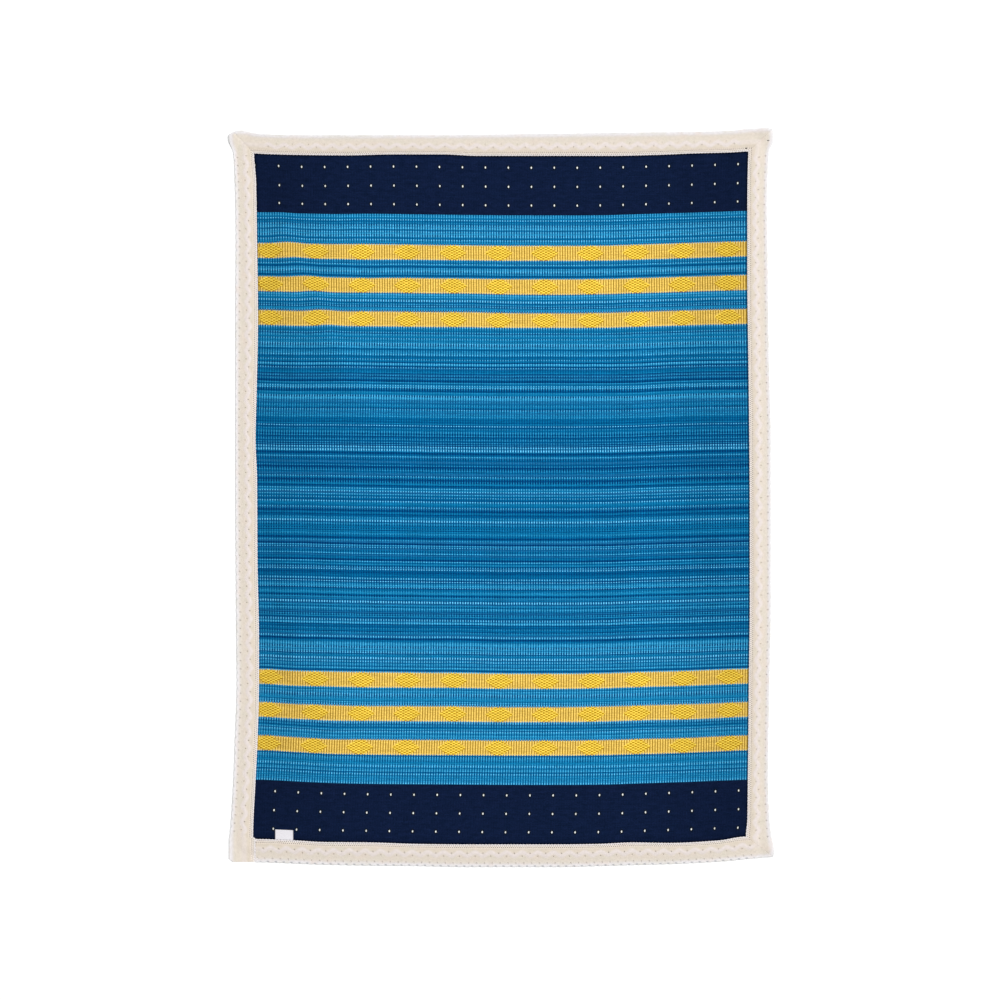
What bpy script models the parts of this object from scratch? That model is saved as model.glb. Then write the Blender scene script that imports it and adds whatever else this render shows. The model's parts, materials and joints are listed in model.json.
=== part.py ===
"""A jacquard blanket lying flat, face up.

It is one ribbed panel framed with cream lace trim, with a small sewn-in label. Metres, +Z up.
The blanket rests on the plane z = 0, with its top edge towards +Y and the origin under its middle.
"""

import math
from collections import namedtuple

import bpy

MM = 0.001

# The panel as it was cut, with the edge that the trim covers
PANEL_WIDTH = 1.027
PANEL_LENGTH = 1.430

# Thickness of each kind of cloth, and the gap kept between two pieces that touch
PANEL_THICKNESS = 0.0025
TRIM_THICKNESS = 0.0015
LABEL_THICKNESS = 0.0008
CLEARANCE = 0.0003

# How the trim lies over the panel's edge: the lap, a little flat beyond it, and the slope down
# to the surface
TRIM_LAP = 0.008
LAP_MARGIN = 0.008
LAP_SLOPE = 0.010

# The seam at the bottom left, where the two ends of the trim meet
SEAM_X = -0.505

# Inner and outer corners of the frame of trim, each on a mitre.
# The tables below pass through them.
INNER_TOP_LEFT = (-0.508, 0.707)
OUTER_TOP_LEFT = (-0.550, 0.751)
INNER_TOP_RIGHT = (0.507, 0.711)
OUTER_TOP_RIGHT = (0.555, 0.757)
INNER_BOTTOM_RIGHT = (0.502, -0.696)
OUTER_BOTTOM_RIGHT = (0.558, -0.737)

# Where the left strip ends, and how far up its inner edge turns in to meet the seam
LEFT_END_Y = -0.748
LEFT_TURN_Y = -0.696

# Label: width, the length that shows, and its left side
LABEL_WIDTH = 0.0370
LABEL_LENGTH = 0.0205
LABEL_LEFT = -0.4646

# Number of cells in each piece's grid
PANEL_CELLS = (34, 48)
LONG_TRIM_CELLS = 60
SHORT_TRIM_CELLS = 44
LABEL_CELLS = (4, 3)

# Share by which the cells at a trim's ends are shorter than its middle ones
END_CROWDING = 0.75

# Rows across a trim: distance from its inner edge, in metres on a strip of the nominal width
TRIM_WIDTH = 0.045
TRIM_ROWS = (0.0, 0.006, 0.014, 0.020, 0.026, 0.035, TRIM_WIDTH)

# The lay of each side, in millimetres: "along" runs up the left and right sides, and to the right
# along the top and bottom; "outer" is where the trim's outer edge lies there, and "inner" is where
# the panel starts to show.
Station = namedtuple("Station", "along outer inner")

LEFT = [
    Station(-750, -560, -505),
    Station(-701, -560, -505),
    Station(-696, -559, -510),
    Station(-580, -551, -505),
    Station(-500, -548, -501),
    Station(-380, -544, -498),
    Station(-290, -545, -498),
    Station(-130, -546, -501),
    Station(40, -547, -502),
    Station(120, -547, -505),
    Station(210, -547, -503),
    Station(370, -547, -500),
    Station(530, -546, -502),
    Station(650, -548, -504),
    Station(707, -551, -508),
    Station(736, -560, -508),
    Station(744, -560, -508),
    Station(751, -550, -508),
]

RIGHT = [
    Station(-737, 558, 502),
    Station(-728, 560, 502),
    Station(-696, 555, 502),
    Station(-660, 551, 505),
    Station(-580, 548, 506),
    Station(-500, 549, 507),
    Station(-380, 551, 508),
    Station(-210, 554, 510),
    Station(-50, 554, 510),
    Station(120, 554, 509),
    Station(290, 550, 507),
    Station(450, 548, 505),
    Station(610, 546, 505),
    Station(680, 548, 506),
    Station(711, 550, 507),
    Station(734, 558, 507),
    Station(750, 558, 507),
    Station(757, 555, 507),
]

TOP = [
    Station(-550, 751, 707),
    Station(-534, 754, 707),
    Station(-508, 749, 707),
    Station(-490, 747, 706),
    Station(-420, 745, 704),
    Station(-320, 745, 703),
    Station(-220, 745, 705),
    Station(-120, 745, 705),
    Station(-50, 746, 702),
    Station(125, 748, 702),
    Station(225, 750, 702),
    Station(320, 751, 704),
    Station(395, 752, 707),
    Station(470, 754, 709),
    Station(507, 758, 711),
    Station(530, 759, 711),
    Station(545, 759, 711),
    Station(555, 757, 711),
]

BOTTOM = [
    Station(-560, -747, -701),
    Station(-545, -750, -701),
    Station(-505, -749, -701),
    Station(-420, -752, -704),
    Station(-370, -754, -707),
    Station(-270, -756, -708),
    Station(-175, -757, -711),
    Station(-75, -759, -712),
    Station(125, -759, -712),
    Station(200, -757, -711),
    Station(270, -755, -708),
    Station(345, -753, -709),
    Station(445, -748, -704),
    Station(502, -743, -696),
    Station(558, -737, -696),
]

# Soft ridges of the panel, as it lies: the two ends of each crest in metres, its half width and
# its height
Ridge = namedtuple("Ridge", "x0 y0 x1 y1 half_width height")

RIDGES = [
    Ridge(0.285, 0.170, 0.100, -0.045, 0.055, 0.0060),
    Ridge(-0.365, 0.350, -0.228, 0.060, 0.070, 0.0060),
    Ridge(0.268, 0.410, 0.268, 0.110, 0.060, 0.0040),
    Ridge(0.010, 0.140, 0.010, -0.190, 0.060, 0.0035),
    Ridge(-0.248, 0.030, -0.248, -0.190, 0.055, 0.0040),
    Ridge(0.268, -0.030, 0.262, -0.510, 0.065, 0.0045),
    Ridge(0.470, -0.390, 0.300, -0.530, 0.060, 0.0060),
    Ridge(-0.445, -0.040, -0.415, -0.420, 0.060, 0.0055),
    Ridge(-0.448, 0.600, -0.448, 0.360, 0.045, 0.0045),
    Ridge(0.430, 0.410, 0.440, -0.180, 0.065, 0.0045),
    Ridge(-0.060, -0.395, 0.120, -0.395, 0.050, 0.0030),
]

# Share by which a ridge is lower and narrower at the ends of its crest
RIDGE_TAPER = 0.4

# The panel's flat rim, and the distance beyond it over which the ridges rise from nothing
FLAT_RIM = 0.014
RIDGE_FADE = 0.045

# Loose corners of the trim, where it is bunched and stands a little off the surface
Tuft = namedtuple("Tuft", "x y radius height")

TUFTS = [
    Tuft(-0.548, 0.744, 0.030, 0.0040),
    Tuft(0.550, 0.747, 0.032, 0.0040),
    Tuft(0.556, -0.722, 0.026, 0.0030),
]

# Colours from the photograph, as linear red, green and blue
PANEL_BLUE = (0.006, 0.130, 0.350)
TRIM_CREAM = (0.800, 0.720, 0.610)
LABEL_WHITE = (0.860, 0.860, 0.870)


def lerp(a, b, t):
    return a + (b - a) * t


def ease(t):
    """Smooth rise from 0 to 1 as t goes from 0 to 1."""
    t = min(max(t, 0.0), 1.0)
    return t * t * (3.0 - 2.0 * t)


def slopes(xs, ys):
    """Slopes at the stations that keep the curve from passing beyond them."""
    steps = [(ys[i + 1] - ys[i]) / (xs[i + 1] - xs[i]) for i in range(len(xs) - 1)]
    inner = [2.0 * a * b / (a + b) if a * b > 0.0 else 0.0 for a, b in zip(steps, steps[1:])]
    return [steps[0]] + inner + [steps[-1]]


def edge(side, column, along):
    """Where a side's outer or inner edge lies at a place along it, in metres."""
    xs = [station.along * MM for station in side]
    ys = [getattr(station, column) * MM for station in side]
    tangents = slopes(xs, ys)
    at = min(max(along, xs[0]), xs[-1])
    k = max(i for i in range(len(xs) - 1) if xs[i] <= at)
    span = xs[k + 1] - xs[k]
    t = (at - xs[k]) / span
    return (
        ys[k] * (1.0 + 2.0 * t) * (1.0 - t) ** 2
        + ys[k + 1] * t * t * (3.0 - 2.0 * t)
        + tangents[k] * span * t * (1.0 - t) ** 2
        - tangents[k + 1] * span * t * t * (1.0 - t)
    )


def panel_edges(x, y):
    """The panel's left, right, bottom and top edges, under the trim, level with a point."""
    left = edge(LEFT, "inner", max(y, LEFT_TURN_Y)) - TRIM_LAP
    right = edge(RIGHT, "inner", y) + TRIM_LAP
    bottom = edge(BOTTOM, "inner", x) - TRIM_LAP
    top = edge(TOP, "inner", x) + TRIM_LAP
    return left, right, bottom, top


def outside_panel(x, y):
    """Distance from the panel's edge: above 0 outside it and below 0 within it."""
    left, right, bottom, top = panel_edges(x, y)
    across = max(left - x, x - right)
    along = max(bottom - y, y - top)
    if across > 0.0 and along > 0.0:
        return math.hypot(across, along)
    return max(across, along)


def panel_place(u, v):
    """Where the panel's point at u across and v up it lies on the surface."""
    x = PANEL_WIDTH * (u - 0.5)
    y = PANEL_LENGTH * (v - 0.5)
    for _ in range(4):
        left, right, bottom, top = panel_edges(x, y)
        x = lerp(left, right, u)
        y = lerp(bottom, top, v)
    return x, y


def ridge_lift(x, y, ridge):
    """Height of one ridge at a point: full along its crest's middle and lower towards its two ends."""
    run_x = ridge.x1 - ridge.x0
    run_y = ridge.y1 - ridge.y0
    share = ((x - ridge.x0) * run_x + (y - ridge.y0) * run_y) / (run_x**2 + run_y**2)
    share = min(max(share, 0.0), 1.0)
    distance = math.hypot(x - ridge.x0 - run_x * share, y - ridge.y0 - run_y * share)
    taper = 1.0 - RIDGE_TAPER * (2.0 * share - 1.0) ** 2
    return ridge.height * taper * ease(1.0 - distance / (ridge.half_width * taper))


def panel_lift(x, y):
    """Height of the panel's underside above the surface."""
    fade = ease((-outside_panel(x, y) - FLAT_RIM) / RIDGE_FADE)
    return fade * max(ridge_lift(x, y, ridge) for ridge in RIDGES)


def trim_lift(x, y):
    """Height of the trim's underside: over the panel's edge, on the surface, or bunched at a corner."""
    beyond = outside_panel(x, y) - LAP_MARGIN
    over_panel = (PANEL_THICKNESS + CLEARANCE) * (1.0 - ease(beyond / LAP_SLOPE))
    bunched = 0.0
    for tuft in TUFTS:
        distance = math.hypot(x - tuft.x, y - tuft.y)
        bunched = max(bunched, tuft.height * ease(1.0 - distance / tuft.radius))
    return over_panel + bunched


def crowded(t):
    """Moves evenly spaced shares along a strip closer together at its two ends."""
    return t - END_CROWDING * math.sin(2.0 * math.pi * t) / (2.0 * math.pi)


def trim_row(share):
    """How far across its strip a row of the grid lies, from 0 at the inner edge to 1 at the outer one."""
    row = round(share * (len(TRIM_ROWS) - 1))
    return TRIM_ROWS[row] / TRIM_WIDTH


def upright_strip(side, inner_ends, outer_ends):
    """Places a grid on a left or right strip, between its inner and its outer edge."""

    def place(u, v):
        t = crowded(v)
        inner_y = lerp(*inner_ends, t)
        outer_y = lerp(*outer_ends, t)
        across = trim_row(u)
        inner = (edge(side, "inner", inner_y), inner_y)
        outer = (edge(side, "outer", outer_y), outer_y)
        x = lerp(inner[0], outer[0], across)
        y = lerp(inner[1], outer[1], across)
        return x, y, trim_lift(x, y)

    return place


def level_strip(side, inner_ends, outer_ends):
    """Places a grid on a top or bottom strip, between its inner and its outer edge."""

    def place(u, v):
        t = crowded(u)
        inner_x = lerp(*inner_ends, t)
        outer_x = lerp(*outer_ends, t)
        across = trim_row(v)
        inner = (inner_x, edge(side, "inner", inner_x))
        outer = (outer_x, edge(side, "outer", outer_x))
        x = lerp(inner[0], outer[0], across)
        y = lerp(inner[1], outer[1], across)
        return x, y, trim_lift(x, y)

    return place


def rimmed(share, cells, length):
    """Makes the first and the last of a row of even cells as narrow as the panel's flat rim."""
    rim = FLAT_RIM / length
    cell = round(share * cells)
    if cell == 0 or cell == cells:
        return share
    return lerp(rim, 1.0 - rim, (cell - 1) / (cells - 2))


def panel_point(u, v):
    across = rimmed(u, PANEL_CELLS[0], PANEL_WIDTH)
    along = rimmed(v, PANEL_CELLS[1], PANEL_LENGTH)
    x, y = panel_place(across, along)
    return x, y, panel_lift(x, y)


def label_point(u, v):
    """A point of the label, which lies on the panel with its lower end at the trim."""
    x = LABEL_LEFT + LABEL_WIDTH * u
    trim_y = edge(BOTTOM, "inner", x) + CLEARANCE
    y = lerp(trim_y, trim_y + LABEL_LENGTH, v)
    return x, y, PANEL_THICKNESS + CLEARANCE


def cloth_material(name, colour, roughness):
    material = bpy.data.materials.new(name)
    material.use_nodes = True
    shader = material.node_tree.nodes["Principled BSDF"]
    shader.inputs["Base Color"].default_value = (*colour, 1.0)
    shader.inputs["Roughness"].default_value = roughness
    shader.inputs["Metallic"].default_value = 0.0
    material.diffuse_color = (*colour, 1.0)
    return material


def sheet(name, cells, place, thickness, material, collection):
    """A sheet of cloth: a flat grid laid out by place(u, v), then given its thickness upwards."""
    bpy.ops.mesh.primitive_grid_add(x_subdivisions=cells[0], y_subdivisions=cells[1], size=1.0)
    piece = bpy.context.object
    piece.name = name
    piece.data.name = name
    for vertex in piece.data.vertices:
        vertex.co = place(vertex.co.x + 0.5, vertex.co.y + 0.5)
    if piece.data.polygons[0].normal.z < 0.0:
        piece.data.flip_normals()
    piece.data.materials.append(material)
    for owner in list(piece.users_collection):
        owner.objects.unlink(piece)
    collection.objects.link(piece)
    solidify = piece.modifiers.new("Thickness", "SOLIDIFY")
    solidify.thickness = thickness
    solidify.offset = 1.0
    return piece


def build():
    for old in list(bpy.data.objects):
        bpy.data.objects.remove(old, do_unlink=True)
    blanket = bpy.data.collections.new("jacquard_blanket")
    bpy.context.scene.collection.children.link(blanket)

    panel_cloth = cloth_material("panel_cloth", PANEL_BLUE, 0.85)
    trim_lace = cloth_material("trim_lace", TRIM_CREAM, 0.80)
    label_tape = cloth_material("label_tape", LABEL_WHITE, 0.60)

    sheet("panel", PANEL_CELLS, panel_point, PANEL_THICKNESS, panel_cloth, blanket)
    sheet("label", LABEL_CELLS, label_point, LABEL_THICKNESS, label_tape, blanket)

    rows = len(TRIM_ROWS) - 1
    half_gap = 0.5 * CLEARANCE
    mitre_gap = half_gap * math.sqrt(2.0)
    left = upright_strip(
        LEFT,
        (LEFT_END_Y, INNER_TOP_LEFT[1] - mitre_gap),
        (LEFT_END_Y, OUTER_TOP_LEFT[1] - mitre_gap),
    )
    right = upright_strip(
        RIGHT,
        (INNER_BOTTOM_RIGHT[1] + mitre_gap, INNER_TOP_RIGHT[1] - mitre_gap),
        (OUTER_BOTTOM_RIGHT[1] + mitre_gap, OUTER_TOP_RIGHT[1] - mitre_gap),
    )
    top = level_strip(
        TOP,
        (INNER_TOP_LEFT[0] + mitre_gap, INNER_TOP_RIGHT[0] - mitre_gap),
        (OUTER_TOP_LEFT[0] + mitre_gap, OUTER_TOP_RIGHT[0] - mitre_gap),
    )
    bottom = level_strip(
        BOTTOM,
        (SEAM_X + CLEARANCE, INNER_BOTTOM_RIGHT[0] - mitre_gap),
        (SEAM_X + CLEARANCE, OUTER_BOTTOM_RIGHT[0] - mitre_gap),
    )
    for name, cells, place in (
        ("trim_left", (rows, LONG_TRIM_CELLS), left),
        ("trim_right", (rows, LONG_TRIM_CELLS), right),
        ("trim_top", (SHORT_TRIM_CELLS, rows), top),
        ("trim_bottom", (SHORT_TRIM_CELLS, rows), bottom),
    ):
        sheet(name, cells, place, TRIM_THICKNESS, trim_lace, blanket)


build()
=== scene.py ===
import json
import math
import random
from collections import namedtuple

import bmesh
import bpy
import numpy as np
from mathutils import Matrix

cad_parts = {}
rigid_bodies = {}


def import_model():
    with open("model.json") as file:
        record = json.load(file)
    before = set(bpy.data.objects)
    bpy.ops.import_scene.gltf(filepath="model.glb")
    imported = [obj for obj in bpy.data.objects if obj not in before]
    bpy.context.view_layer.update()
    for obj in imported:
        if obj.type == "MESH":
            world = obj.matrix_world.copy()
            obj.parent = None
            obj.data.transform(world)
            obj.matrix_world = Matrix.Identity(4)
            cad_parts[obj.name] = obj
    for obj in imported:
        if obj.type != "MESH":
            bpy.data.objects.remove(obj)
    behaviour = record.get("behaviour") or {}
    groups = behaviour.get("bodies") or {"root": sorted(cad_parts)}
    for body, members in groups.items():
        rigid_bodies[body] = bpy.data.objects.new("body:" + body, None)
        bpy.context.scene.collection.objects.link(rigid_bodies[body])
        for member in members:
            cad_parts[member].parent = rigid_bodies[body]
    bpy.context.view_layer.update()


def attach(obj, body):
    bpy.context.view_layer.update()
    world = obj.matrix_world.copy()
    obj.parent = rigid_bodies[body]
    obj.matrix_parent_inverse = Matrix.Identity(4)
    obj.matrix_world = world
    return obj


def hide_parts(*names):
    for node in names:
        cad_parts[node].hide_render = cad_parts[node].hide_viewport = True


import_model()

MM = 0.001
TAU = 2.0 * math.pi

# Places down the cloth are counted in steps, and this step lies on the middle of the blanket
STEP = 0.002055
MIDDLE_STEP = 497.7

# The panel as it was cut, with the edge that the trim covers, and its ribs
PANEL_WIDTH = 1.027
PANEL_LENGTH = 1.430
PANEL_THICKNESS = 0.0025
RIBS = 195.5
POINTS_PER_RIB = 4
PANEL_ROWS = 58
RIB_DEPTH = 0.0005
CLOTH_BODY = 0.0018

# How the trim lies over the panel's edge
CLEARANCE = 0.0003
TRIM_LAP = 0.008
LAP_MARGIN = 0.008
LAP_SLOPE = 0.020
LEFT_TURN_Y = -0.696
LEFT_END_Y = -0.748
SEAM_X = -0.505

# Inner and outer corners of the frame of trim, each on a mitre
INNER_TOP_LEFT = (-0.508, 0.707)
OUTER_TOP_LEFT = (-0.550, 0.751)
INNER_TOP_RIGHT = (0.507, 0.711)
OUTER_TOP_RIGHT = (0.555, 0.757)
INNER_BOTTOM_RIGHT = (0.502, -0.696)
OUTER_BOTTOM_RIGHT = (0.558, -0.737)

# The lay of each side, in millimetres: where the trim's outer edge lies, and where the panel starts to show
Station = namedtuple("Station", "along outer inner")

LEFT = [
    Station(-750, -560, -505),
    Station(-701, -560, -505),
    Station(-696, -559, -510),
    Station(-580, -551, -505),
    Station(-500, -548, -501),
    Station(-380, -544, -498),
    Station(-290, -545, -498),
    Station(-130, -546, -501),
    Station(40, -547, -502),
    Station(120, -547, -505),
    Station(210, -547, -503),
    Station(370, -547, -500),
    Station(530, -546, -502),
    Station(650, -548, -504),
    Station(707, -551, -508),
    Station(736, -560, -508),
    Station(744, -560, -508),
    Station(751, -550, -508),
]

RIGHT = [
    Station(-737, 558, 502),
    Station(-728, 560, 502),
    Station(-696, 555, 502),
    Station(-660, 551, 505),
    Station(-580, 548, 506),
    Station(-500, 549, 507),
    Station(-380, 551, 508),
    Station(-210, 554, 510),
    Station(-50, 554, 510),
    Station(120, 554, 509),
    Station(290, 550, 507),
    Station(450, 548, 505),
    Station(610, 546, 505),
    Station(680, 548, 506),
    Station(711, 550, 507),
    Station(734, 558, 507),
    Station(750, 558, 507),
    Station(757, 555, 507),
]

TOP = [
    Station(-550, 751, 707),
    Station(-534, 754, 707),
    Station(-508, 749, 707),
    Station(-490, 747, 706),
    Station(-420, 745, 704),
    Station(-320, 745, 703),
    Station(-220, 745, 705),
    Station(-120, 745, 705),
    Station(-50, 746, 702),
    Station(125, 748, 702),
    Station(225, 750, 702),
    Station(320, 751, 704),
    Station(395, 752, 707),
    Station(470, 754, 709),
    Station(507, 758, 711),
    Station(530, 759, 711),
    Station(545, 759, 711),
    Station(555, 757, 711),
]

BOTTOM = [
    Station(-560, -747, -701),
    Station(-545, -750, -701),
    Station(-505, -749, -701),
    Station(-420, -752, -704),
    Station(-370, -754, -707),
    Station(-270, -756, -708),
    Station(-175, -757, -711),
    Station(-75, -759, -712),
    Station(125, -759, -712),
    Station(200, -757, -711),
    Station(270, -755, -708),
    Station(345, -753, -709),
    Station(445, -748, -704),
    Station(502, -743, -696),
    Station(558, -737, -696),
]

# Soft ridges of the panel, as it lies: the two ends of each crest in metres, its half width and its height
Ridge = namedtuple("Ridge", "x0 y0 x1 y1 half_width height")

RIDGES = [
    Ridge(0.285, 0.170, 0.100, -0.045, 0.055, 0.0060),
    Ridge(-0.365, 0.350, -0.228, 0.060, 0.070, 0.0060),
    Ridge(0.268, 0.410, 0.268, 0.110, 0.060, 0.0040),
    Ridge(0.010, 0.140, 0.010, -0.190, 0.060, 0.0035),
    Ridge(-0.248, 0.030, -0.248, -0.190, 0.055, 0.0040),
    Ridge(0.268, -0.030, 0.262, -0.510, 0.065, 0.0045),
    Ridge(0.470, -0.390, 0.300, -0.530, 0.060, 0.0060),
    Ridge(-0.445, -0.040, -0.415, -0.420, 0.060, 0.0055),
    Ridge(-0.448, 0.600, -0.448, 0.360, 0.045, 0.0045),
    Ridge(0.430, 0.410, 0.440, -0.180, 0.065, 0.0045),
    Ridge(-0.060, -0.395, 0.120, -0.395, 0.050, 0.0030),
]
RIDGE_TAPER = 0.4
FLAT_RIM = 0.014
RIDGE_FADE = 0.045

# Loose corners of the trim, where it is bunched and stands a little off the surface
Tuft = namedtuple("Tuft", "x y radius height")

TUFTS = [
    Tuft(-0.548, 0.744, 0.030, 0.0040),
    Tuft(0.550, 0.747, 0.032, 0.0040),
    Tuft(0.556, -0.722, 0.026, 0.0030),
]

# How far the woven rows hang below level across the cloth, in millimetres
Sag = namedtuple("Sag", "x drop")

SAGS = [
    Sag(-512, -7.0),
    Sag(-440, -5.6),
    Sag(-370, -4.9),
    Sag(-320, -4.2),
    Sag(-220, -2.8),
    Sag(-147, -1.7),
    Sag(0, 0.0),
    Sag(150, 0.2),
    Sag(223, -0.6),
    Sag(297, -3.2),
    Sag(347, -4.8),
    Sag(420, -6.9),
    Sag(512, -9.0),
]

# Places where the rows are pulled further up or down, in millimetres: the middle, the reach each way, and
# how far the rows drop there
Pull = namedtuple("Pull", "x y reach_x reach_y drop")

PULLS = [
    Pull(-505, -470, 60, 210, -4.2),
    Pull(-270, -560, 140, 120, 1.6),
    Pull(500, 560, 80, 120, -0.8),
    Pull(500, 200, 90, 150, 1.3),
    Pull(500, -480, 80, 240, -2.0),
    Pull(-390, 665, 110, 60, 4.0),
    Pull(400, 665, 150, 70, 2.0),
    Pull(-440, -500, 70, 110, -1.3),
    Pull(245, -445, 90, 110, -1.1),
    Pull(380, 430, 130, 80, 0.9),
    Pull(-75, 380, 60, 70, -0.9),
    Pull(-435, 220, 70, 110, 1.5),
    Pull(-435, -150, 80, 170, -1.6),
    Pull(-435, -560, 60, 40, -1.6),
    Pull(-345, 560, 45, 35, 2.0),
    Pull(-345, -480, 45, 35, 1.6),
    Pull(-280, 470, 50, 30, 1.8),
    Pull(-280, -412, 45, 30, 1.2),
    Pull(90, 400, 90, 25, 1.9),
    Pull(90, 285, 80, 60, -1.1),
    Pull(275, 230, 50, 90, 1.5),
    Pull(275, -250, 60, 120, -0.9),
    Pull(-95, -310, 60, 60, -1.3),
    Pull(-95, -412, 60, 30, -1.0),
]

# How far the ribs are drawn aside, in millimetres, at the panel's left and right sides
Lean = namedtuple("Lean", "y left right")

LEANS = [
    Lean(-720, -5.8, 2.6),
    Lean(-645, -5.6, 0.8),
    Lean(605, 0.8, -0.9),
    Lean(700, 3.0, -1.2),
]
LEAN_RIM = 0.022

# The slanting wave at the upper left, in millimetres: the ends of its crest, its half width, how far the
# rows drop on it and beside it, how wide the second part is, and how it starts and ends along the crest
WAVE_TOP = (-467, 583)
WAVE_END = (-332, 314)
WAVE_WIDTH = 26.0
WAVE_CREST = -3.4
WAVE_SIDES = 1.5
WAVE_SIDE_WIDTH = 2.6 * WAVE_WIDTH
WAVE_RISE = 4.0
WAVE_AT_TOP = 0.4
WAVE_AT_END = 0.2

# Scale of the soft light: a white surface facing it shows this much of full white
LIGHT_LEVEL = 1.15


def lerp(a, b, t):
    """The value that lies the share t of the way from a to b."""
    return a + (b - a) * t


def ease(t):
    """Smooth rise from 0 to 1 as t goes from 0 to 1."""
    t = np.clip(t, 0.0, 1.0)
    return t * t * (3.0 - 2.0 * t)


def edge(side, column, along):
    """Where a side's outer or inner edge lies at places along it, in metres."""
    xs = np.array([station.along for station in side]) * MM
    ys = np.array([getattr(station, column) for station in side]) * MM
    steps = np.diff(ys) / np.diff(xs)
    before, after = steps[:-1], steps[1:]
    even = before * after > 0.0
    middle = np.where(even, 2.0 * before * after / np.where(even, before + after, 1.0), 0.0)
    tangents = np.concatenate([steps[:1], middle, steps[-1:]])
    at = np.clip(along, xs[0], xs[-1])
    k = np.clip(np.searchsorted(xs, at, side="right") - 1, 0, len(xs) - 2)
    span = xs[k + 1] - xs[k]
    t = (at - xs[k]) / span
    return (
        ys[k] * (1.0 + 2.0 * t) * (1.0 - t) ** 2
        + ys[k + 1] * t * t * (3.0 - 2.0 * t)
        + tangents[k] * span * t * (1.0 - t) ** 2
        - tangents[k + 1] * span * t * t * (1.0 - t)
    )


def panel_edges(x, y):
    """The panel's left, right, bottom and top edges, under the trim, level with each point."""
    left = edge(LEFT, "inner", np.maximum(y, LEFT_TURN_Y)) - TRIM_LAP
    right = edge(RIGHT, "inner", y) + TRIM_LAP
    bottom = edge(BOTTOM, "inner", x) - TRIM_LAP
    top = edge(TOP, "inner", x) + TRIM_LAP
    return left, right, bottom, top


def outside_panel(x, y):
    """Distance from the panel's edge: above 0 outside it and below 0 within it."""
    left, right, bottom, top = panel_edges(x, y)
    across = np.maximum(left - x, x - right)
    along = np.maximum(bottom - y, y - top)
    beyond = (across > 0.0) & (along > 0.0)
    return np.where(beyond, np.hypot(across, along), np.maximum(across, along))


def panel_place(u, v):
    """Where the panel's points at u across and v up it lie on the surface."""
    x = PANEL_WIDTH * (u - 0.5)
    y = PANEL_LENGTH * (v - 0.5)
    for _ in range(4):
        left, right, bottom, top = panel_edges(x, y)
        x = lerp(left, right, u)
        y = lerp(bottom, top, v)
    return x, y


def from_line(x, y, x0, y0, x1, y1):
    """Share of the way along a line that each point lies level with, and its distance from the line."""
    run_x, run_y = x1 - x0, y1 - y0
    share = np.clip(((x - x0) * run_x + (y - y0) * run_y) / (run_x**2 + run_y**2), 0.0, 1.0)
    return share, np.hypot(x - x0 - run_x * share, y - y0 - run_y * share)


def ridge_lift(x, y, ridge):
    """Height of one ridge: full along its crest's middle and lower towards its two ends."""
    share, distance = from_line(x, y, ridge.x0, ridge.y0, ridge.x1, ridge.y1)
    taper = 1.0 - RIDGE_TAPER * (2.0 * share - 1.0) ** 2
    return ridge.height * taper * ease(1.0 - distance / (ridge.half_width * taper))


def panel_lift(x, y):
    """Height of the panel's underside above the surface."""
    fade = ease((-outside_panel(x, y) - FLAT_RIM) / RIDGE_FADE)
    return fade * np.max([ridge_lift(x, y, ridge) for ridge in RIDGES], axis=0)


def trim_lift(x, y):
    """Height of the trim's underside: over the panel's edge, on the surface, or bunched at a corner."""
    beyond = outside_panel(x, y) - LAP_MARGIN
    over_panel = (PANEL_THICKNESS + CLEARANCE) * (1.0 - ease(beyond / LAP_SLOPE))
    bunched = [
        tuft.height * ease(1.0 - np.hypot(x - tuft.x, y - tuft.y) / tuft.radius)
        for tuft in TUFTS
    ]
    return over_panel + np.max(bunched, axis=0)


def row_drop(x, y):
    """How far a woven row hangs below level at each point, in metres."""
    x, y = x / MM, y / MM
    drop = np.interp(x, [sag.x for sag in SAGS], [sag.drop for sag in SAGS])
    for pull in PULLS:
        far = ((x - pull.x) / pull.reach_x) ** 2 + ((y - pull.y) / pull.reach_y) ** 2
        drop = drop + pull.drop * np.exp(-far)
    share, distance = from_line(x, y, *WAVE_TOP, *WAVE_END)
    strength = ease(WAVE_RISE * share + WAVE_AT_TOP) * ease(WAVE_RISE * (1.0 - share) + WAVE_AT_END)
    near = np.exp(-((distance / WAVE_WIDTH) ** 2))
    beside = np.exp(-((distance / WAVE_SIDE_WIDTH) ** 2))
    drop = drop + strength * (WAVE_CREST * near + WAVE_SIDES * beside)
    return drop * MM


def rib_lean(u, y):
    """How far the ribs are drawn aside at each point, in metres: nothing at the two edges, under the trim."""
    ys = [lean.y * MM for lean in LEANS]
    left = np.interp(y, ys, [lean.left for lean in LEANS])
    right = np.interp(y, ys, [lean.right for lean in LEANS])
    hold = ease(np.minimum(u, 1.0 - u) * PANEL_WIDTH / LEAN_RIM)
    return lerp(left, right, u) * hold * MM


def only_active(piece):
    """Leaves one object selected and active, and in object mode."""
    for other in bpy.context.view_layer.objects:
        other.select_set(False)
    piece.select_set(True)
    bpy.context.view_layer.objects.active = piece


def apply_modifiers(piece):
    """Makes the modifiers part of the mesh."""
    only_active(piece)
    for modifier in list(piece.modifiers):
        bpy.ops.object.modifier_apply(modifier=modifier.name)


def flat_grid(name, columns, rows):
    """A new grid of cells, and the column and the row of each of its points, as shares from 0 to 1."""
    for other in bpy.context.view_layer.objects:
        other.select_set(False)
    bpy.ops.mesh.primitive_grid_add(x_subdivisions=columns, y_subdivisions=rows, size=1.0)
    piece = bpy.context.object
    piece.name = name
    piece.data.name = name
    places = np.empty(3 * len(piece.data.vertices), dtype=np.float32)
    piece.data.vertices.foreach_get("co", places)
    places = places.reshape(-1, 3).astype(float)
    return piece, places[:, 0] + 0.5, places[:, 1] + 0.5


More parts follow.
